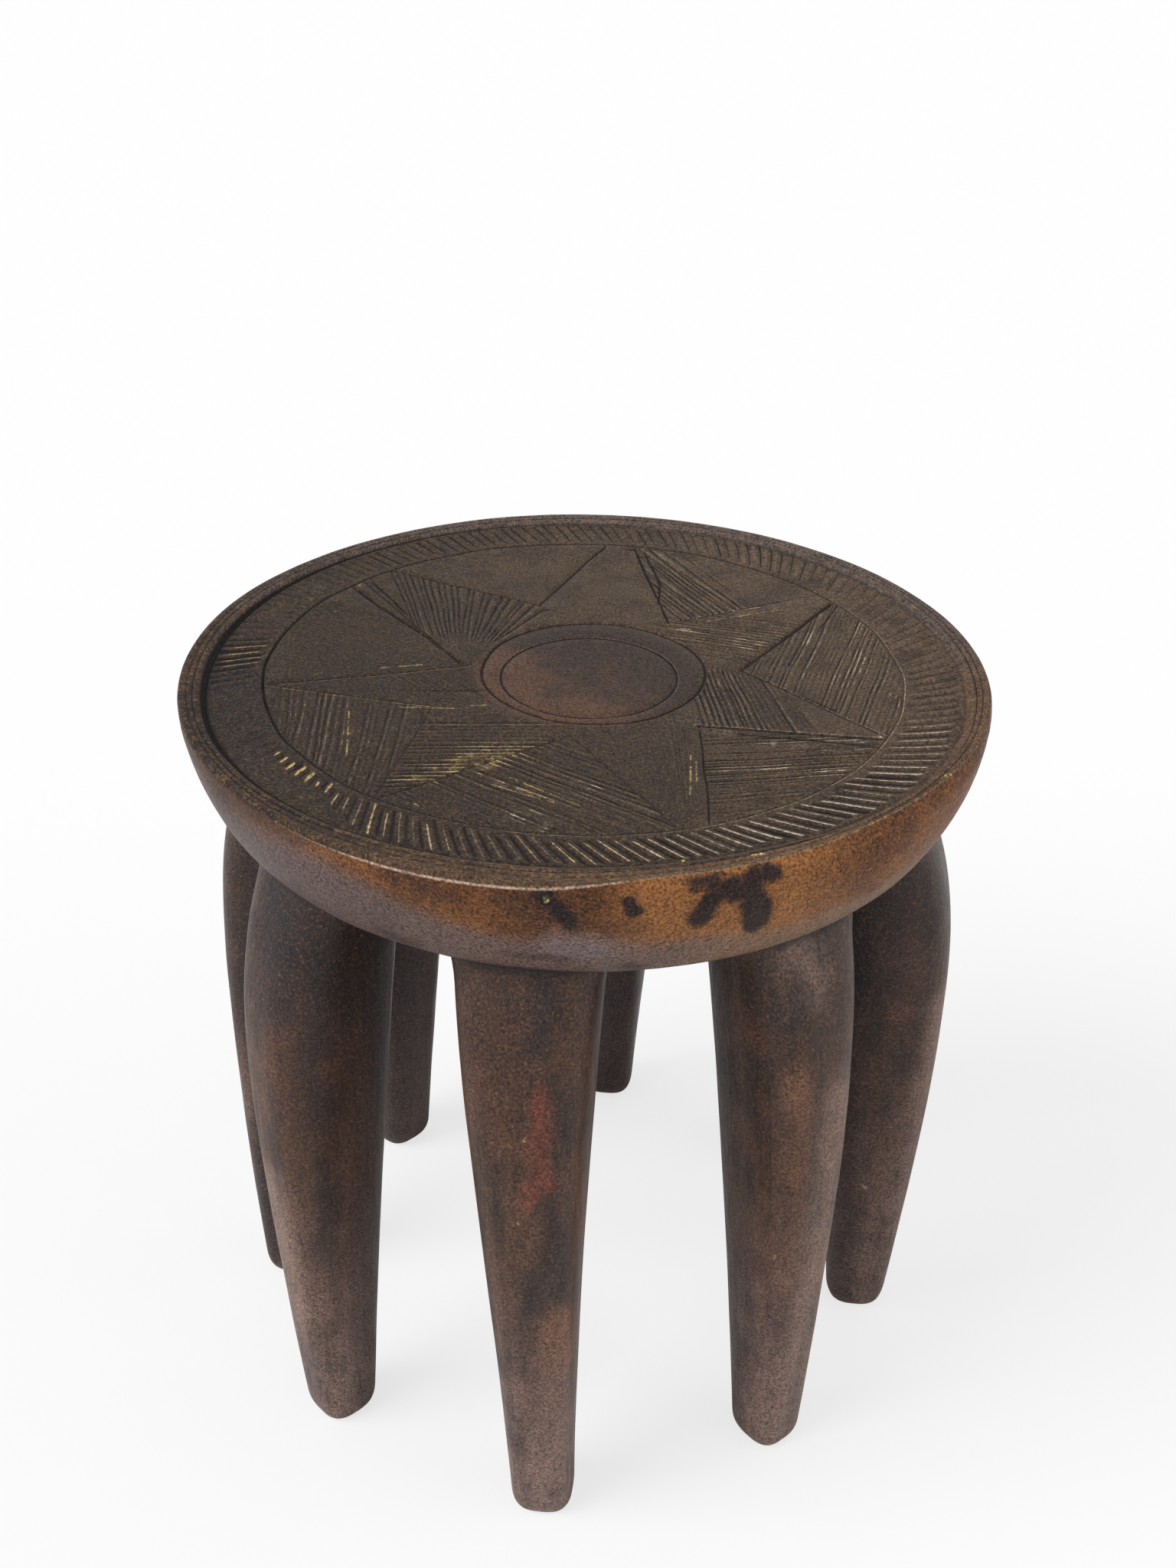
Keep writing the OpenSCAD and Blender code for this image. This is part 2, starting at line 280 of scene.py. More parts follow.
# Where use has rubbed the ridges bright: middle in the viewer's plan, half length, half width, tilt, force
rubbed = [
    (-44.5, -83, 27.6, 10.8, 30, 1), (-32.5, -68.5, 22.8, 7.2, 5, .9), (-66, -98.5, 10.8, 3.6, 5, 1),
    (83, -65, 18, 6, 0, .9), (71, -83.5, 16.8, 3.6, 8, .8), (99.5, -89, 14.4, 4.8, 10, .8),
    (111.5, -67, 14.4, 3, 10, .8), (123.5, -55, 7.2, 3, -40, 1), (61, -53.5, 15.6, 2.4, -10, 1),
    (108, -59.5, 19.2, 2.4, -8, 1), (75.5, 32.5, 10.8, 7.2, -17, .8), (78, 66, 21.6, 3, 22, 1),
    (47, 45.5, 7.2, 2.2, -17, .9), (90, 51.5, 10.8, 2.4, -17, .9), (126, 50.5, 7.2, 13.2, 0, .7),
    (102, 38.5, 2.4, 10.8, -20, .7), (135.5, -18, 2.4, 21.6, 10, .8), (114, 10, 18, 30, -10, .6),
    (92, 44, 20, 8, 40, .5),
    (-90, 2, 14.4, 1.9, 15, 1), (-120, -6, 9.6, 3, 15, 1), (-67, -35.5, 13.2, 1.7, -3, 1),
    (-47, -33, 6, 3, 0, .8), (-99.5, -61, 2.6, 21.6, -5, .9), (-122.5, -42, 4.8, 16.8, 0, .6),
    (-86.5, -68.5, 6, 13.2, -10, .6), (-113, 84, 4.2, 10.8, -25, 1), (-135.5, 25, 6, 7.2, 0, .7),
    (-117.5, 13, 9.6, 6, 0, .7), (-91, 33.5, 3, 3, 0, .8),
    (-20.5, -129.5, 14.4, 9.6, -30, .9), (1, -101, 8.4, 4.8, -40, .9), (-26.5, -105.5, 18, 3.6, -30, 1),
    (-62.5, -121, 6, 1.9, -45, 1), (-25, -77, 4.2, 7.2, -20, .6), (10, -118, 30, 14, -35, .35),
]


def rubAt(p):   # p in the stool's frame
    most = 0
    for x, y, halfLength, halfWidth, tilt, force in rubbed:
        d = p.xy.to_3d() - fromPlan(x, y)
        turn = math.radians(tilt) + viewTurn
        u = (d.x * math.cos(turn) + d.y * math.sin(turn)) / halfLength
        w = (d.y * math.cos(turn) - d.x * math.sin(turn)) / halfWidth
        most = max(most, force * clamp((1.35 - math.hypot(u, w)) / .7))   # fades over the outer part
    return most


def starRadius(share):
    return lerp(seat["outerCircle"][0] + 1, seat["starCircle"] - 1, share)


def across(bm, faces, a, b):   # cuts these faces along the line from a to b; the faces, and the new vertices
    geom = set(faces)
    for f in faces:
        geom.update(f.edges, f.verts)
    cut = bmesh.ops.bisect_plane(bm, geom=list(geom), dist=.01, plane_co=a, plane_no=leftOf(b - a))
    return ([f for f in cut["geom"] if isinstance(f, bmesh.types.BMFace)],
            [v for v in cut["geom_cut"] if isinstance(v, bmesh.types.BMVert)])


def sideOf(a, b, p):   # above 0 on the left of the line from a to b
    return (b.x - a.x) * (p.y - a.y) - (b.y - a.y) * (p.x - a.x)


def between(degrees, low, high):
    return (degrees - low) % 360 <= (high - low) % 360


def edgeLine(edge):   # from the notch to the star circle
    return polar(edge[1], starRadius(edge[2])), polar(edge[0], seat["starCircle"])


def press(verts, deep, carve, depth, mark, fade=None):   # sets how deep new vertices lie, and their mark
    for v in verts:
        kept = fade(v.co) if fade else 1
        v[deep], v[carve] = depth * kept, mark * kept


def fieldOf(face):   # which point of the star, or which gap, a face belongs to
    p, turn = face.calc_center_median(), middleTurn(face)
    for i, (name, low, high) in enumerate(starEdges):
        if not between(turn, low[1], high[1]):
            continue
        if between(turn, low[1], low[0]) and sideOf(*edgeLine(low), p) < 0:
            return gapName(i - 1)
        if between(turn, high[0], high[1]) and sideOf(*edgeLine(high), p) > 0:
            return gapName(i)
        return name
    return starEdges[0][0]


def gapName(i):   # the gap after point i, counter-clockwise
    return starEdges[i % 7][0] + "-" + starEdges[(i + 1) % 7][0]


def cutField(bm, faces, row, layers, rng):
    a0, b0, a1, b1, count, force, share, *plain = row
    a0, b0, a1, b1 = (fromPlan(*p) for p in (a0, b0, a1, b1))
    plain = [(fromPlan(x, y), reach) for x, y, reach in plain]

    def fade(p):   # no cuts inside the plain patches
        kept = 1
        for middle, reach in plain:
            kept *= clamp((p - middle).length / reach * 2 - 1)
        return kept * (.85 + .6 * noise(p / 6))

    # short joints across the row come first, so that the cuts can waver
    along = ((b0 - a0).normalized() + (b1 - a1).normalized()).normalized()
    side = leftOf(along)
    reach = [along.dot(v.co) for f in faces for v in f.verts]
    at = min(reach) + carving["crossStep"] * .7
    while at < max(reach):
        faces, fresh = across(bm, faces, along * at, along * at + side)
        at += carving["crossStep"]
    outward = a1.lerp(b1, .5) + (a1 - a0).normalized() * 400
    for i in range(count):
        at = i + rng.uniform(-carving["shake"], carving["shake"])
        lean = rng.uniform(-carving["shake"], carving["shake"]) * .6
        depth = onTable(force, i / (count - 1)) * rng.uniform(*carving["force"])
        shown = min(1, depth / .6)
        for step, low, mark in ((-share / 2, 0, 0), (0, depth, -shown), (share / 2, 0, 0), (.5, 0, shown)):
            tA, tB = (at + step - lean) / (count - 1), (at + step + lean) / (count - 1)
            a, b = a0.lerp(a1, tA), b0.lerp(b1, tB)
            if sideOf(a, b, outward) > 0:
                a, b = b, a
            faces, fresh = across(bm, faces, a, b)
            press(fresh, *layers, low, mark, fade)
            faces = [f for f in faces if sideOf(a, b, f.calc_center_median()) <= 0]


# Profile across a cut: place as a share of its width, share of its depth, mark
cutProfile = [(-.5, 0, 0), (-.25, .6, -.6), (0, 1, -1), (.25, .6, -.6), (.5, 0, 0)]


def cutStroke(bm, faces, points, width, depth, layers):   # one free cut; returns the faces with the new ones
    points = [fromPlan(*p) for p in points]
    whole = sum((b - a).length for a, b in zip(points, points[1:]))
    run = 0
    for a, b in zip(points, points[1:]):
        length, along = (b - a).length, (b - a).normalized()
        side = leftOf(along)

        def crosses(face):
            reach = [along.dot(v.co - a) for v in face.verts]
            off = [side.dot(v.co - a) for v in face.verts]
            return max(reach) > -1 and min(reach) < length + 1 and max(off) > -width and min(off) < width

        strip = [f for f in faces if crosses(f)]
        kept = set(faces) - set(strip)
        for share, force, mark in cutProfile:
            strip, fresh = across(bm, strip, a + side * share * width, b + side * share * width)
            for v in fresh:
                reach = along.dot(v.co - a)
                if -1 < reach < length + 1:
                    ends = clamp((run + max(0, reach)) / 6) * clamp((whole - run - reach) / 6)
                    v[layers[0]], v[layers[1]] = depth * force * ends, mark * ends
        faces = list(kept) + strip
        run += length
    return faces


def middleTurn(face):
    c = face.calc_center_median()
    return math.degrees(math.atan2(c.y, c.x))


def carveStar(bm, layers):   # joints at points and notches, the outline, then the hatching and the free cuts
    deep, carve, rowDeep, rowCarve = layers
    star = bm.faces[:]
    for name, low, high in starEdges:
        for degrees in {low[0], high[0], high[1]}:
            ahead = [f for f in star if between(middleTurn(f), degrees - 80, degrees + 80)]
            kept = set(star) - set(ahead)
            faces, fresh = across(bm, ahead, Vector(), polar(degrees, 100))
            star = list(kept) + faces
    for name, low, high in starEdges:
        for edge in (low, high):
            a, b = edgeLine(edge)
            first, last = (edge[1], edge[0]) if edge is low else (edge[0], edge[1])
            sector = [f for f in star if between(middleTurn(f), first, last)]
            kept = set(star) - set(sector)
            side = leftOf(b - a).normalized()
            lit = edge[5] if len(edge) > 5 else 0   # a worn bright line beside the cut
            for share, force, mark in cutProfile + ([(.62 * lit, 0, 1.6), (.75 * lit, 0, 0)] if lit else []):
                step = side * edge[3] * share
                sector, fresh = across(bm, sector, a + step, b + step)
                press(fresh, deep, carve, edge[4] * force, mark * min(1, edge[4] / .8) if mark < 0 else mark)
            star = list(kept) + sector
    fields = {}
    for f in star:
        fields.setdefault(fieldOf(f), []).append(f)
    rng = random.Random(5)
    for name in sorted(fields):
        cutField(bm, fields[name], hatching[name], (rowDeep, rowCarve), rng)
    star = bm.faces[:]
    for points, width, depth in strokes:
        star = cutStroke(bm, star, points, width, depth, (deep, carve))
    print("star carved", len(bm.verts), len(bm.faces))


def handWork(bm, deep):   # the heights, and the waver of hand work
    for v in bm.verts:
        p = v.co
        radius = p.xy.length
        if v[deep] >= 0:
            soft = noise(p / 9) * .25 + noise(p / 2.7) * .15
            p.z = topHeight(radius) - v[deep] * (.9 + soft)
            p.z += .18 * noise(p / 30) + .05 * noise(p / 3)
            fade = carving["warp"] * clamp((radius - 30) / 20) * clamp((160 - radius) / 15)
            p.x += fade * noise(Vector((p.x, p.y, 7)) / carving["warpSize"])
            p.y += fade * noise(Vector((p.x, p.y, 57)) / carving["warpSize"])
        else:
            lump = .35 + .35 * noise(p / 34) + .12 * noise(p / 9)
            if p.z > 357.5:
                p.z -= max(0, .3 * lump)
            elif radius < 152:
                p.z += max(0, lump)
            push = max(0, lump) * clamp((radius - 120) / 40) * (.35 if p.z > 355 else 1)
            p.x -= p.x / max(radius, 1) * push
            p.y -= p.y / max(radius, 1) * push


def buildSeat():
    bm = bmesh.new()
    layers = bm.verts.layers.float
    names = ("deep", "carve", "rowDeep", "rowCarve", "rub", "flank", "tone")
    for name in names:
        layers.new(name)
    deep, carve, rowDeep, rowCarve, rub, flank, tone = (layers[name] for name in names)
    innerR, innerX, innerY = seat["innerCircle"]
    outerR, outerX, outerY = seat["outerCircle"]

    # star annulus in one step, merged to eight panels and carved on its own
    loop, column = firstRing(bm, seat["columns"], lambda c: columnPoint(c, outerR + 1.1, (outerX, outerY)))
    growRing(bm, loop, lambda c: columnPoint(c, circleRadius(columnTurn[c]) - 1.2))
    own = set(bm.verts)
    panels = [[] for p in range(8)]
    for f in bm.faces:
        panels[int(middleTurn(f) % 360 / 45)].append(f)
    for p in panels:
        bmesh.ops.dissolve_faces(bm, faces=p, use_verts=False)
    carveStar(bm, (deep, carve, rowDeep, rowCarve))
    for v in bm.verts:
        if v not in own:
            v[column] = -1
        v[rub] = rubAt(v.co)
        v[deep] = max(v[deep], v[rowDeep])
        if abs(v[rowCarve]) > abs(v[carve]) and v[carve] > -.3:
            v[carve] = v[rowCarve]
    edges = [e for e in bm.edges if e.is_boundary]
    outerLoop = [e for e in edges if e.verts[0].co.length > 100]
    loop = [e for e in edges if e.verts[0].co.length < 100]

    def grown(place):   # grows the ring, and gives its new vertices
        nonlocal loop
        loop = growRing(bm, loop, place)
        return vertsOf(loop)

    def ring(radius, middle, depth=0, mark=0, worn=0):
        for v in grown(lambda c: columnPoint(c, radius, middle)):
            front = max(0, -math.sin(math.radians(columnTurn[v[column]] - 15)))   # worn most towards the viewer
            v[deep], v[carve], v[rub] = depth, mark, worn * front

    # roundel, inwards: outer circle, band, inner circle and disc
    for step, depth, mark, worn in seat["outerGroove"]:
        ring(outerR + step, (outerX, outerY), depth, mark, worn)
    ring((innerR + outerR) / 2, ((innerX + outerX) / 2, (innerY + outerY) / 2), 0, .3)
    for step, depth, mark, worn in seat["innerGroove"]:
        ring(innerR + step, (innerX, innerY), depth, mark, worn)
    for radius, share in seat["disc"]:
        ring(radius, (innerX * share, innerY * share))
    bmesh.ops.pointmerge(bm, verts=list(vertsOf(loop)), merge_co=(0, 0, 0))

    # circle round the star, broader at the left
    loop = outerLoop
    for step, depth, mark in seat["circleGroove"]:
        for v in grown(lambda c: columnPoint(c, circleRadius(columnTurn[c]) + step)):
            turn = columnTurn[v[column]]
            worn = around(seat["circleRub"], turn)
            force = (1 - .5 * worn) * (1 + .9 * max(0, math.cos(math.radians(turn - seat["circleBroadAt"]))) ** 12)
            v[deep] = depth * force
            v[carve] = max(-1, mark * force) if mark < 0 else mark * worn
            v[rub] = 0
    # border with its slanting cuts
    for share in border["rows"]:
        def place(c):
            turn = columnTurn[c]
            edge = channelRadius(skewed(turn, channelRadius(turn))) - 1.4
            radius = lerp(circleRadius(turn) + 1.2, edge, share)
            return polar(skewed(turn, radius), radius)
        for v in grown(place):
            k, role = divmod(v[column], 4)   # role 1 is the middle of a cut, 3 the ridge between two
            turn = columnTurn[v[column]]
            short = max(0, 1 - abs(turn - border["shortAt"]) / border["shortReach"])
            last = lerp(cutEnd[k], border["shortEnd"], min(1, short * 1.6))
            ends = clamp((share - cutStart[k]) / .08) * clamp((last - share) / .06)
            force = ends * cutForce[k] * (around(border["share"], turn) + .7 * short)
            v[deep] = v[rub] = 0
            if role == 1:
                v[deep], v[carve] = border["depth"] * force, -min(1, force)
            elif role == 3:
                v[carve] = min(1, force) * (around(border["pale"], turn) + short)
                v[rub] = (around(border["rub"], turn) + short * 1.5) * ridgeForce[k] * min(1, ends * 1.5)
            else:
                v[carve] = -.2 * max(0, around(border["width"], turn) - 2.6) * min(1, force)
            # the channel's shade spreads at the left
            v[carve] -= channelDrop(turn) * max(0, share - .8) * 3.5
    # channel and rim, from the channel outwards
    for step, share, z, mark in seat["rim"]:
        def place(c):
            turn = skewed(columnTurn[c], channelRadius(columnTurn[c]))
            force = around(seat["channelForce"], turn)
            lip = 1 if share else lerp(1.9, 1, min(1, force)) if step > 0 else max(.6, force)
            edge = seat["radius"] - around(seat["crestWear"], turn)
            radius = lerp(channelRadius(turn), edge, share) + step * lip
            return polar(turn, radius, topHeight(radius) + z * force if z <= 0 else z)
        for v in grown(place):
            turn = columnTurn[v[column]]
            drop = channelDrop(turn)
            if share:
                v[carve] = mark
            elif mark <= 0:
                v[carve] = max(-1, mark * around(seat["channelForce"], turn) * 1.3 - drop)
            else:
                v[carve] = mark - drop * max(0, 2.4 - step)
            turn = skewed(turn, 170)
            v[rub] = around(seat["channelRub"], turn) if (share, step) in ((0, 1.9), (.42, .6)) else 0
            v[tone] = around(seat["rimTone"], turn)
            v[deep] = -1   # height is already final

    def outside(radius, z, wear=0, run=9):   # run: way over the crest, negative before it
        def place(c):
            turn = skewed(columnTurn[c], channelRadius(columnTurn[c]))
            return polar(turn, radius - wear * around(seat["crestWear"], turn), z)
        for v in grown(place):
            turn = skewed(columnTurn[v[column]], 170)
            off = run - around(seat["darkEnd"], turn)
            # painted highlight along the crest, with worn flecks, kept in the carve marks
            v[carve] = 1.7 * around(seat["crestHighlightAndWear"], turn) * max(0, 1 - abs(off) / 1.3)
            v[tone], v[deep], v[rub], v[flank] = around(seat["rimTone"], turn), -1, 0, clamp(off / 1.6 + .5)

    for run, radius, z, wear in seat["crest"]:
        outside(radius, z, wear, run)
    for i in range(1, seat["bowlRows"] + 1):
        t = i / seat["bowlRows"]
        weights = ((1 - t) ** 3, 3 * t * (1 - t) ** 2, 3 * t * t * (1 - t), t ** 3)
        radius, z = (sum(w * p[k] for w, p in zip(weights, seat["bowl"])) for k in (0, 1))
        outside(radius, z, .3 * max(0, 1 - t * 4) ** 2)
    for radius in seat["undersideRings"]:
        outside(radius, seat["underside"])
    bmesh.ops.pointmerge(bm, verts=list(vertsOf(loop)), merge_co=(0, 0, seat["underside"] + 1))
    print("seat rings", len(bm.verts))

    handWork(bm, deep)
    bmesh.ops.triangulate(bm, faces=[f for f in bm.faces if len(f.verts) > 4])
    for name in ("deep", "rowDeep", "rowCarve"):
        layers.remove(layers[name])
    return bm


# Shading: one wire is one output socket, and sums on wires add their Math nodes
class Wire:
    def __init__(self, tree, socket=None):
        self.tree, self.socket = tree, socket

    def node(self, kind, inputs=None, output=0, **settings):
        made = self.tree.nodes.new("ShaderNode" + kind)
        for key, value in settings.items():
            setattr(made, key, value)
        for key, value in (inputs or {}).items():
            if isinstance(value, Wire):
                self.tree.links.new(value.socket, made.inputs[key])
            else:
                made.inputs[key].default_value = value
        return Wire(self.tree, made.outputs[output] if made.outputs else None)

    def sum(self, operation, *values):
        return self.node("Math", dict(enumerate(values)), operation=operation)

    def vector(self, operation, other=None, output=0):
        inputs = {0: self} if other is None else {0: self, 1: other}
        return self.node("VectorMath", inputs, output, operation=operation)

    def attribute(self, name):
        return self.node("Attribute", output=2, attribute_name=name)

    def parts(self):
        made = self.node("SeparateXYZ", {0: self})
        return [Wire(self.tree, s) for s in made.socket.node.outputs]

    def __add__(self, other): return self.sum("ADD", self, other)
    def __radd__(self, other): return self.sum("ADD", other, self)
    def __sub__(self, other): return self.sum("SUBTRACT", self, other)
    def __rsub__(self, other): return self.sum("SUBTRACT", other, self)
    def __mul__(self, other): return self.sum("MULTIPLY", self, other)
    def __rmul__(self, other): return self.sum("MULTIPLY", other, self)
    def __truediv__(self, other): return self.sum("DIVIDE", self, other)
    def __pow__(self, other): return self.sum("POWER", self, other)
    def most(self, other): return self.sum("MAXIMUM", self, other)
    def least(self, other): return self.sum("MINIMUM", self, other)


def paint(colour):   # red, green and blue as they look on screen, 0 to 255; a wire stays as it is
    if isinstance(colour, Wire):
        return colour
    return tuple((c / 255 / 12.92 if c <= 10 else ((c / 255 + .055) / 1.055) ** 2.4) for c in colour) + (1,)


def rise(wire, low, high):   # 0 below low, 1 above high, soft between
    inputs = {"Value": wire, "From Min": low, "From Max": high}
    return wire.node("MapRange", inputs, interpolation_type="SMOOTHSTEP")


def blend(factor, a, b):
    return factor.node("Mix", {0: factor, 6: paint(a), 7: paint(b)}, 2, data_type="RGBA")


def coats(colour, *layers):   # lays each colour over the last where its mask says
    for mask, tint in layers:
        colour = blend(mask, colour, tint)
    return colour


def cleared(owner):   # a material or a world with no nodes yet
    owner.use_nodes = True
    owner.node_tree.nodes.clear()
    return owner, Wire(owner.node_tree)


def closeMaterial(material, place, colour, roughness, height, bump, shine):
    pores = ((cloud(place, 950, 0) - .5) * 1.9 + 1).most(.2)   # fine pores, lighter and darker than the wood
    colour = colour.node("VectorMath", {0: colour, "Scale": pores}, operation="SCALE")
    grain = height.node("Bump", {"Strength": bump, "Distance": mm, "Height": height})
    surface = colour.node("BsdfPrincipled", {"Base Color": colour, "Roughness": roughness, "Normal": grain,
                                             "Specular IOR Level": shine})
    surface.node("OutputMaterial", {"Surface": surface})
    return material


def cloud(place, scale, detail=3, rough=.55, stretch=None, output=0):   # soft noise around 0.5
    if stretch:
        place = place.node("Mapping", {"Vector": place, "Scale": stretch})
    inputs = {"Vector": place, "Scale": scale, "Detail": detail, "Roughness": rough}
    return place.node("TexNoise", inputs, output)


def stirred(place, scale, detail, rough, reach):   # the place, moved about so that marks come out ragged
    shift = cloud(place, scale, detail, rough, None, 1).vector("SUBTRACT", (.5, .5, .5))
    return place.vector("ADD", shift.vector("MULTIPLY", reach))


def near(place, points, low, high):   # 1 closer than low to the line through the points, 0 beyond high, metres
    gaps = []
    for a, b in zip(points, points[1:]):
        a, b = Vector(a) * mm, Vector(b) * mm
        off = place.vector("SUBTRACT", a)
        share = (off.vector("DOT_PRODUCT", b - a, 1) * (1 / (b - a).length_squared)).most(0).least(1)
        reach = place.node("CombineXYZ", {0: share, 1: share, 2: share}).vector("MULTIPLY", b - a)
        gaps.append(off.vector("SUBTRACT", reach).vector("LENGTH", None, 1))
    return 1 - rise(reduce(Wire.least, gaps), low, high)


def allNear(place, lines, low, high):   # the same for several lines at once
    return reduce(Wire.most, [near(place, points, low, high) for points in lines])


def specks(speck, light, pale, dark, deep):   # coats of light and of dark specks, each a share and a colour
    return (rise(speck, .52, .64) * light, pale), (rise(speck * -1, -.49, -.38) * dark, deep)


# Marks on the seat, in millimetres: dark stains with their half width, then lines on the top and chips
seatMarks = {
    "petals": [([(59, -170, 359), (66, -167, 356)], 5.5), ([(66, -167, 351), (59, -168, 341)], 6.5),
               ([(77, -162, 352), (80, -158, 340), (81, -156, 331)], 6.8), ([(76, -163, 359), (88, -157, 357)], 5),
               ([(70, -166, 356), (72, -165, 350)], 5.5), ([(106, -144, 358), (108, -143, 358)], 2.2),
               ([(1, -180, 357), (6, -179, 350), (10, -179, 344), (12, -178, 337)], 4.2),
               ([(33, -177, 352), (34, -176, 347)], 4)],
    "blotches": [([(-12, -180, 350), (12, -179, 343)], 9), ([(26, -175, 338), (36, -174, 337)], 6.5),
                 ([(112, -141, 356), (114, -136, 342)], 3), ([(-133, -118, 349), (-140, -108, 345)], 9)],
    # painted shade low down on the bowl beside the heads of the legs
    "paintedLegShade": [([(-64, -161, 314), (-56, -160, 309)], 10), ([(-138, -106, 318), (-134, -104, 312)], 6),
                ([(-16, -172, 318), (10, -172, 318)], 5), ([(33, -162, 311), (35, -161, 309)], 6)],
    # darker places and light scratches on the top, in the viewer's plan
    "shade": [[(20, -60), (28, -100)], [(56, -12), (84, -34)], [(-108, -8), (-62, -4)]],
    "scratches": [[(93.5, 69.5), (57.5, 56.5)], [(83, 72), (70, 68)], [(42, 47), (51.5, 44)],
                  [(-101.5, -41), (-98, -80)], [(-67, -117.5), (-59.5, -125.5)], [(-32.5, -93.5), (-1, -117.5)],
                  [(-37, -101.5), (-12, -115)], [(44, -74.5), (42.5, -107)], [(46, -80), (45.5, -96)],
                  [(-92, 1), (-74, 5)], [(-80, -36), (-55, -36.5)], [(-50, -33.5), (-41, -32.5)]],
    "chips": [[(3, -179, 354), (3.5, -179, 353)], [(65, -165, 360), (69, -164, 359.5)],
              [(78, -150, 359), (81, -148, 359)], [(50, -155, 359), (52, -154, 359)],
              [(152, -80, 360), (163, -76, 359)]],
    "dullBorder": [(-153, -22, 357), (-147, -52, 357), (-132, -84, 357)],
    # a painted bluish highlight low on the front of the bowl
    "paintedBowlHighlight": [(8, -176, 329), (22, -175, 326)],
}


def seatWood():
    material, wire = cleared(bpy.data.materials.new("seat wood"))
    place = wire.node("TexCoord", output=3)
    x, y, z = place.parts()
    carve, rub, tone, flank = (wire.attribute(name) for name in ("carve", "rub", "tone", "flank"))
    radius = (x * x + y * y) ** .5
    u = x / radius.most(.001)   # -1 at the far left of the bowl, 1 at the far right
    big, middle, small = cloud(place, 14), cloud(place, 60), cloud(place, 170, 3, .6)
    fine, speck = cloud(place, 520, 4, .65), cloud(place, 720, 3, .75)
    moved = stirred(place, 60, 5, .7, (.012, .012, .012))
    turned = place.node("CombineXYZ", {0: x * 14, 1: y * 14, 2: radius * 900 + z * 260})
    grain = cloud(turned, 1, 3, .6)   # fine lines round the rim
    flat = place.node("CombineXYZ", {0: x, 1: y, 2: 0})
    shade, scratch = (allNear(flat, [[fromPlan(*p) for p in line] for line in seatMarks[name]], low, high)
                      for name, low, high in (("shade", .008, .038), ("scratches", .0001, .0006)))

    # top: dark and matt on the left, paler towards the right and the far side
    disc = blend(rise(big * .6 + middle * .4 + (y + x) * -1.7, .46, .66), (60, 49, 44), (86, 64, 52))
    top = coats((55, 44, 37), (rise(x + y * .5 + (big - .5) * .16, -.16, .18), (88, 72, 59)),
        (rise(middle, .42, .66) * .6, (50, 42, 39)), (rise(small, .5, .72) * .35, (94, 77, 62)),
        (shade * .42, (44, 37, 35)), (near(moved, seatMarks["dullBorder"], .006, .024) * .5, (34, 30, 36)),
        *specks(speck, .4, (108, 88, 58), .5, (30, 27, 32)), (rise(radius * -1, -.053, -.047), disc))
    rim = blend(tone * .8 + (grain - .5) * .25 + (middle + small - 1) * .5, (38, 32, 32),
                blend(rise(y, -.02, .08), (112, 86, 66), (108, 95, 90)))
    rim = coats(rim, (rise(speck + small * .4, .7, .86) * .5, (132, 102, 66)),
        (rise(speck * -1, -.49, -.38) * .4, (34, 29, 31)))
    # dark in the cuts, pale on the worn edges beside them; the far left is hardly worn
    groove, ridge = rise(carve * -1, .1, .8), rise(carve, .3, 1)
    dull = rise(y, .01, .05) * rise(x * -1, -.02, .02)
    worn = rise(rub * (ridge * .85 + .4) * (fine * .9 + small * 1.1), .34, .74)
    bare = blend(rise(big + x * .8, .36, .6), (188, 162, 108), (182, 168, 150))
    top = coats(top, (rise(radius, .1665, .1695), rim),
        (ridge * rise(fine + small * .5, .45, .85) * (.7 - dull * .5), (132, 114, 95)),
        (groove * .92, (22, 19, 20)), (worn * .85, bare),
        (rise(carve, 1, 1.4) * rise(small, .36, .56) * .8, bare),
        (scratch * rise(fine * .5 + small * .5, .42, .56) * .7, (184, 158, 108)))

    # bowl: orange brown under the crest, painted lighter on the right as if lit there; a painted greyish mauve
    # sheen low down and all over at the far left
    paintedSheenEdge = rise(u * -1, .1, .5) * .018 - rise(u, .3, .6) * .006 + (big - .5) * .016 + (small - .5) * .008 + .331
    paintedSheen = blend(rise(u, -.45, -.1), (90, 78, 76), blend(rise(u, .25, .5), (98, 84, 80), (122, 99, 82)))
    paintedSheen = blend(rise(middle, .35, .65) * .3, paintedSheen, (84, 70, 66))
    shadow = rise(z * -1, -.311, -.307) * (1 - rise(u, .3, .55) * .8)
    bowl = coats((82, 52, 34), (rise(big + (grain - .5) * .2 + (small - .5) * .3, .36, .62), (120, 77, 44)),
        (rise(middle, .5, .68) * .4, (62, 44, 36)), *specks(speck, .4, (142, 92, 50), .45, (44, 33, 32)),
        (rise(u, .1, .22) * rise(u * -1, -.72, -.5) * .55, (158, 106, 62)),
        (rise(z - (u + .55).most(0) * .1, .347, .352) * rise(u * -1, .38, .55) * .7, (64, 46, 38)),
        (rise(paintedSheenEdge - z, -.007, .007) * .85, paintedSheen),
        (near(moved, seatMarks["paintedBowlHighlight"], .002, .016) * .5, (118, 107, 110)), (shadow * .6, (52, 41, 39)))
    stainAndShade = blend(rise(speck, .42, .62), (26, 23, 27), (54, 42, 38))
    # one dark colour serves the petals and blotches, and the painted shade beside the legs
    for name, core, force in (("petals", .6, .96), ("blotches", .2, .4), ("paintedLegShade", .2, .7)):
        shown = [near(moved, points, core * half * mm, 1.22 * half * mm)
                 for points, half in seatMarks[name]]
        bowl = blend(reduce(Wire.most, shown) * force, bowl, stainAndShade)

    side = rise(flank + (small - .5) * .4, .3, .7)
    lit = rise(x, .02, .06)
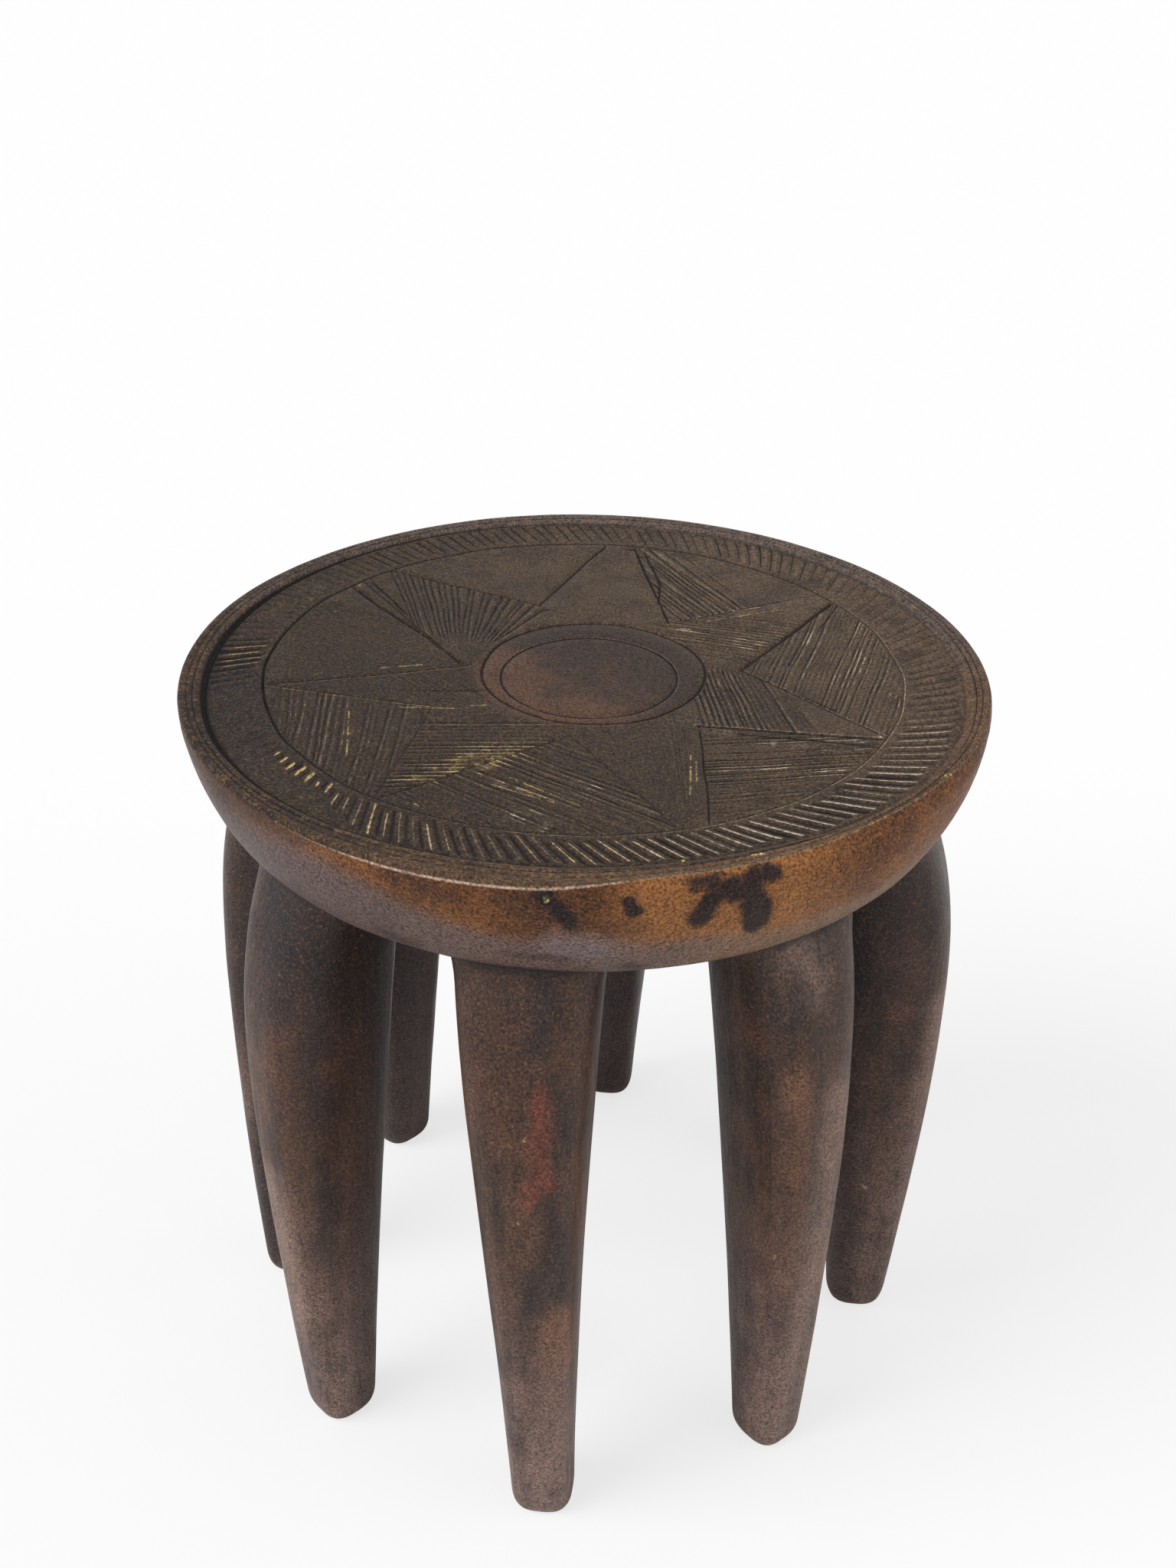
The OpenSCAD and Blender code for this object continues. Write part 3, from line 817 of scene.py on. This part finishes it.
    # painted highlight along the crest: pinkish white at the front, yellowish worn flecks on the right
    crest = rise(carve, .6, 1.3) * rise(flank, .02, .2)
    crest *= rise(grain * .6 + fine * .5 + small * .6 - lit * .12, .6, .9)
    colour = coats(top, (side, bowl), (crest * .7, blend(lit, (190, 162, 146), (176, 138, 92))),
        (allNear(moved, seatMarks["chips"], .0003, .0016) * rise(fine, .4, .55), (214, 196, 120)))
    roughness = rise(fine, .3, .7) * .16 - side * .12 + .52
    return closeMaterial(material, place, colour, roughness, fine * .5 + grain * .25 + small * .8, .4, .1)


# Marks on the legs: how far each spreads, its force and its colour, then its lines in millimetres
legMarks = {
    "red": (.009, .6, (122, 58, 46), [[(0, -175, 254), (2, -178, 212)], [(-5, -172, 238), (-4, -176, 205)]]),
    "orange": (.016, .6, (128, 88, 64), [
        [(-109, -126, 265), (-99, -125, 220)], [(150, -41, 246), (152, -40, 210)],
        [(104, -138, 240), (106, -140, 190)], [(8, -172, 138), (9, -171, 112)]]),
    # pale: painted light, streaks where the outer faces of the legs catch the light
    "pale": (.02, .6, (138, 112, 98), [
        [(100, -124, 300), (104, -127, 286)], [(124, -120, 225), (120, -124, 50)],
        [(-126, -120, 150), (-122, -122, 70)], [(176, -30, 210), (167, -30, 20)]]),
    "dark": (.01, .8, (38, 31, 32), [
        [(-2, -162, 297), (-3, -170, 275)], [(-4, -178, 160), (-3, -178, 145)], [(99, -129, 288), (98, -131, 262)],
        [(10, -176, 190), (11, -177, 150)], [(0, -166, 62), (2, -165, 54)]]),
    "shade": (.03, .9, (34, 29, 33), [
        [(-118, -112, 303), (-113, -130, 262)], [(-100, -130, 290), (-97, -132, 200)],
        [(138, -34, 305), (150, -31, 225)], [(126, -32, 300), (136, -30, 230)],
        [(-158, -22, 80), (-160, -20, 15)]]),
}
legChips = [[(-7, -178, 240), (-7, -178, 236)], [(-9, -179, 196), (-9, -179, 194)],
            [(11, -170, 161), (11, -170, 159)], [(-119, -126, 121), (-119, -126, 119)],
            [(116, -124, 247), (116, -124, 245)], [(99, -127, 137), (99, -127, 136)],
            [(144, -26, 93), (147, -26, 88)]]


def legWood():
    material, wire = cleared(bpy.data.materials.new("leg wood"))
    place = wire.node("TexCoord", output=3)
    x, y, z = place.parts()
    streak, thin = cloud(place, 1, 4, .6, (90, 90, 9)), cloud(place, 1, 3, .6, (560, 560, 30))
    patch, soft, speck = cloud(place, 16), cloud(place, 55, 3, .6), cloud(place, 720, 3, .75)
    moved = stirred(place, 45, 3, .6, (.014, .014, .03))
    foot = rise(z * -1 + (patch - .5) * .06, -.19, 0)
    front = rise(y * -1, -.06, .08)
    pale = blend(rise(streak * .5 + soft * .5, .38, .62), (95, 78, 72), (134, 110, 101))
    # painted light and shade: feet paler as if lit by the floor, heads darker under the seat, far legs darker
    colour = coats((48, 34, 29), (rise(streak * .65 + soft * .35, .42, .6), (82, 57, 43)),
        (rise(patch, .46, .66) * front * .5, (100, 66, 47)), (foot * .85, pale),
        (rise(z, .21, .285) * .5, (46, 35, 31)), ((1 - front) * .45, (52, 43, 43)),
        (rise(thin, .52, .72) * .25, (44, 37, 37)), (wire.attribute("inwardShade") * .55, (44, 36, 38)))
    broken = rise(streak * .5 + soft * .5, .3, .5)
    for reach, force, tint, lines in legMarks.values():
        colour = blend(allNear(moved, lines, 0, reach) * broken * force, colour, tint)
    colour = coats(colour, *specks(speck, .3, (120, 90, 70), .4, (30, 25, 29)),
        (allNear(moved, legChips, .0003, .0014) * .8, (160, 130, 98)),
        # painted shadow under the edge of the seat
        (rise(z, .3015, .3055) * .75, (26, 21, 22)))   # dark line under the seat
    roughness = rise(thin, .3, .7) * .14 + .38
    return closeMaterial(material, place, colour, roughness, thin * .7 + soft * .8 + speck * .3, .25, .25)


# Legs, the same named sizes as the CAD
legs = {   # drift of the foot and of the head in degrees, reach in millimetres, girth
    "front_leg": (0, -3.5, 3, 1.01), "front_right_leg": (.2, -3, -5, .94), "right_leg": (-2, -7, -1, .95),
    "back_right_leg": (-1.5, -5, 0, 1), "back_leg": (-1.5, -5.5, 3, 1.01), "back_left_leg": (5, 4, -2, 1.06),
    "left_leg": (5, -6.5, 1, .99), "front_left_leg": (.8, -3, 1, .97),
}
legForm = {"height": 306, "into": 1.5, "knee": 192, "kneeRadius": 177, "footRadius": 165, "headRadius": 158,
           "headDepth": 50, "footDepth": 29, "headWidth": 62, "footWidth": 29, "flareWidth": 3, "flareHeight": 16,
           "toe": 10, "toeRings": (12, 25, 38, 52, 66, 78, 90), "sole": .7, "round": 3, "kneePower": 1.5,
           "neckPower": 3, "girthPower": 1.4, "columns": 56, "levels": 84}


def legRing(i, drift, z):   # middle azimuth, outer and inner radius, half width and toe share at a height
    form, share = legForm, z / legForm["height"]
    footDrift, headDrift, reach, girth = drift
    knee, foot, head = form["kneeRadius"] + reach, form["footRadius"] + reach, form["headRadius"]
    flare = form["flareWidth"] * max(0, 1 - (form["height"] - z) / form["flareHeight"]) ** 2
    if z < form["knee"]:
        outer = knee - (knee - foot) * (1 - z / form["knee"]) ** form["kneePower"]
    else:
        above = (z - form["knee"]) / (form["height"] - form["knee"])
        outer = knee - (knee - head) * above ** form["neckPower"]
    inner = lerp(foot - form["footDepth"], head - form["headDepth"], share) - flare
    half = girth * lerp(form["footWidth"], form["headWidth"], share ** form["girthPower"]) / 2 + flare
    toe = lerp(form["sole"], 1, math.sqrt(max(0, 1 - (1 - z / form["toe"]) ** 2))) if z < form["toe"] else 1
    return -90 + 45 * i + lerp(footDrift, headDrift, share), outer, inner, half, toe


def buildLeg(i, drift):
    form = legForm
    bm = bmesh.new()
    inwardShade = bm.verts.layers.float.new("inwardShade")

    def place(c, z):
        degrees, outer, inner, half, toe = legRing(i, drift, min(z, form["height"]))
        t = math.tau * c / form["columns"]
        cos, sin = math.cos(t), math.sin(t)
        corner = (abs(cos) ** form["round"] + abs(sin) ** form["round"]) ** (-1 / form["round"])
        centre, depth = (outer + inner) / 2, (outer - inner) / 2
        along = polar(degrees, 1)
        side = leftOf(along)
        lump = .3 + .3 * noise(Vector((cos * 1.4, sin * 1.4 + i * 9, z / 70))) \
            + .12 * noise(Vector((cos * 4, sin * 4 + i * 9, z / 30)))
        shrink = toe * (1 - max(0, lump) / max(depth, 1) * (.4 + .6 * clamp((300 - z) / 40)))   # less at the head
        reach, sideways = centre + depth * corner * cos * shrink, half * corner * sin * shrink
        return along * reach + side * sideways + Vector((0, 0, z))

    loop, column = firstRing(bm, form["columns"], lambda c: place(c, 0), True)
    heights = [form["toe"] * (1 - math.cos(math.radians(a))) for a in form["toeRings"]]
    rest = form["levels"] - len(heights)
    heights += [lerp(form["toe"], form["height"], (k + 1) / rest) for k in range(rest)]
    heights += [form["height"] + form["into"]]
    for z in heights:
        loop = growRing(bm, loop, lambda c: place(c, z))
    bmesh.ops.holes_fill(bm, edges=loop, sides=0)
    # painted shade on the side that looks to the middle of the stool
    for v in bm.verts:   # the side that looks to the middle of the stool
        v[inwardShade] = clamp(-math.cos(math.tau * v[column] / form["columns"]) * 2 + .2)
    return bm


seatPiece = finish(buildSeat(), "carved_seat", seatWood())
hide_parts("seat")
triangles = sum(len(p.vertices) - 2 for p in seatPiece.data.polygons)
print("seat", len(seatPiece.data.vertices), "vertices", triangles, "triangles")
legMaterial = legWood()
for i, (name, drift) in enumerate(legs.items()):
    leg = finish(buildLeg(i, drift), "carved_" + name, legMaterial)
    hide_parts(name)
print("legs done")

# Floor, light and background. Each lamp: where it shines, strength, spread in degrees.
white = (1, 1, 1, 1)
studio = {"floorSize": 12, "floorColour": (.93, .93, .93, 1), "whiteShare": .7, "roomLight": .56,
          "lamps": {"key": ((.8, .42, -.8), 1.95, 40), "side": ((-1, .12, -.35), .75, 60)}}
floorMaterial, wire = cleared(bpy.data.materials.new("pale floor"))
ground = wire.node("BsdfPrincipled", {"Base Color": studio["floorColour"], "Roughness": .9,
                                      "Specular IOR Level": .1})
glow = wire.node("Emission", {"Color": white, "Strength": 1})
surface = wire.node("MixShader", {0: wire.node("LightPath") * studio["whiteShare"], 1: ground, 2: glow})
wire.node("OutputMaterial", {"Surface": surface})
floorBuild = bmesh.new()
bmesh.ops.create_grid(floorBuild, x_segments=1, y_segments=1, size=studio["floorSize"])
floor = placed(floorBuild, "floor", floorMaterial)

scene.world, wire = cleared(bpy.data.worlds.new("studio"))
seen = wire.node("LightPath")
glossy = Wire(wire.tree, seen.socket.node.outputs["Is Glossy Ray"])
room, paper = (wire.node("Background", {"Color": white, "Strength": k}) for k in (studio["roomLight"], 1))
both = wire.node("MixShader", {0: seen.most(glossy), 1: room, 2: paper})
wire.node("OutputWorld", {"Surface": both})

for name, (towards, strength, spread) in studio["lamps"].items():
    lamp = bpy.data.objects.new(name, bpy.data.lights.new(name, "SUN"))
    lamp.data.energy, lamp.data.angle = strength, math.radians(spread)
    lamp.rotation_euler = Vector(towards).to_track_quat("-Z", "Y").to_euler()
    scene.collection.objects.link(lamp)
print("light set")
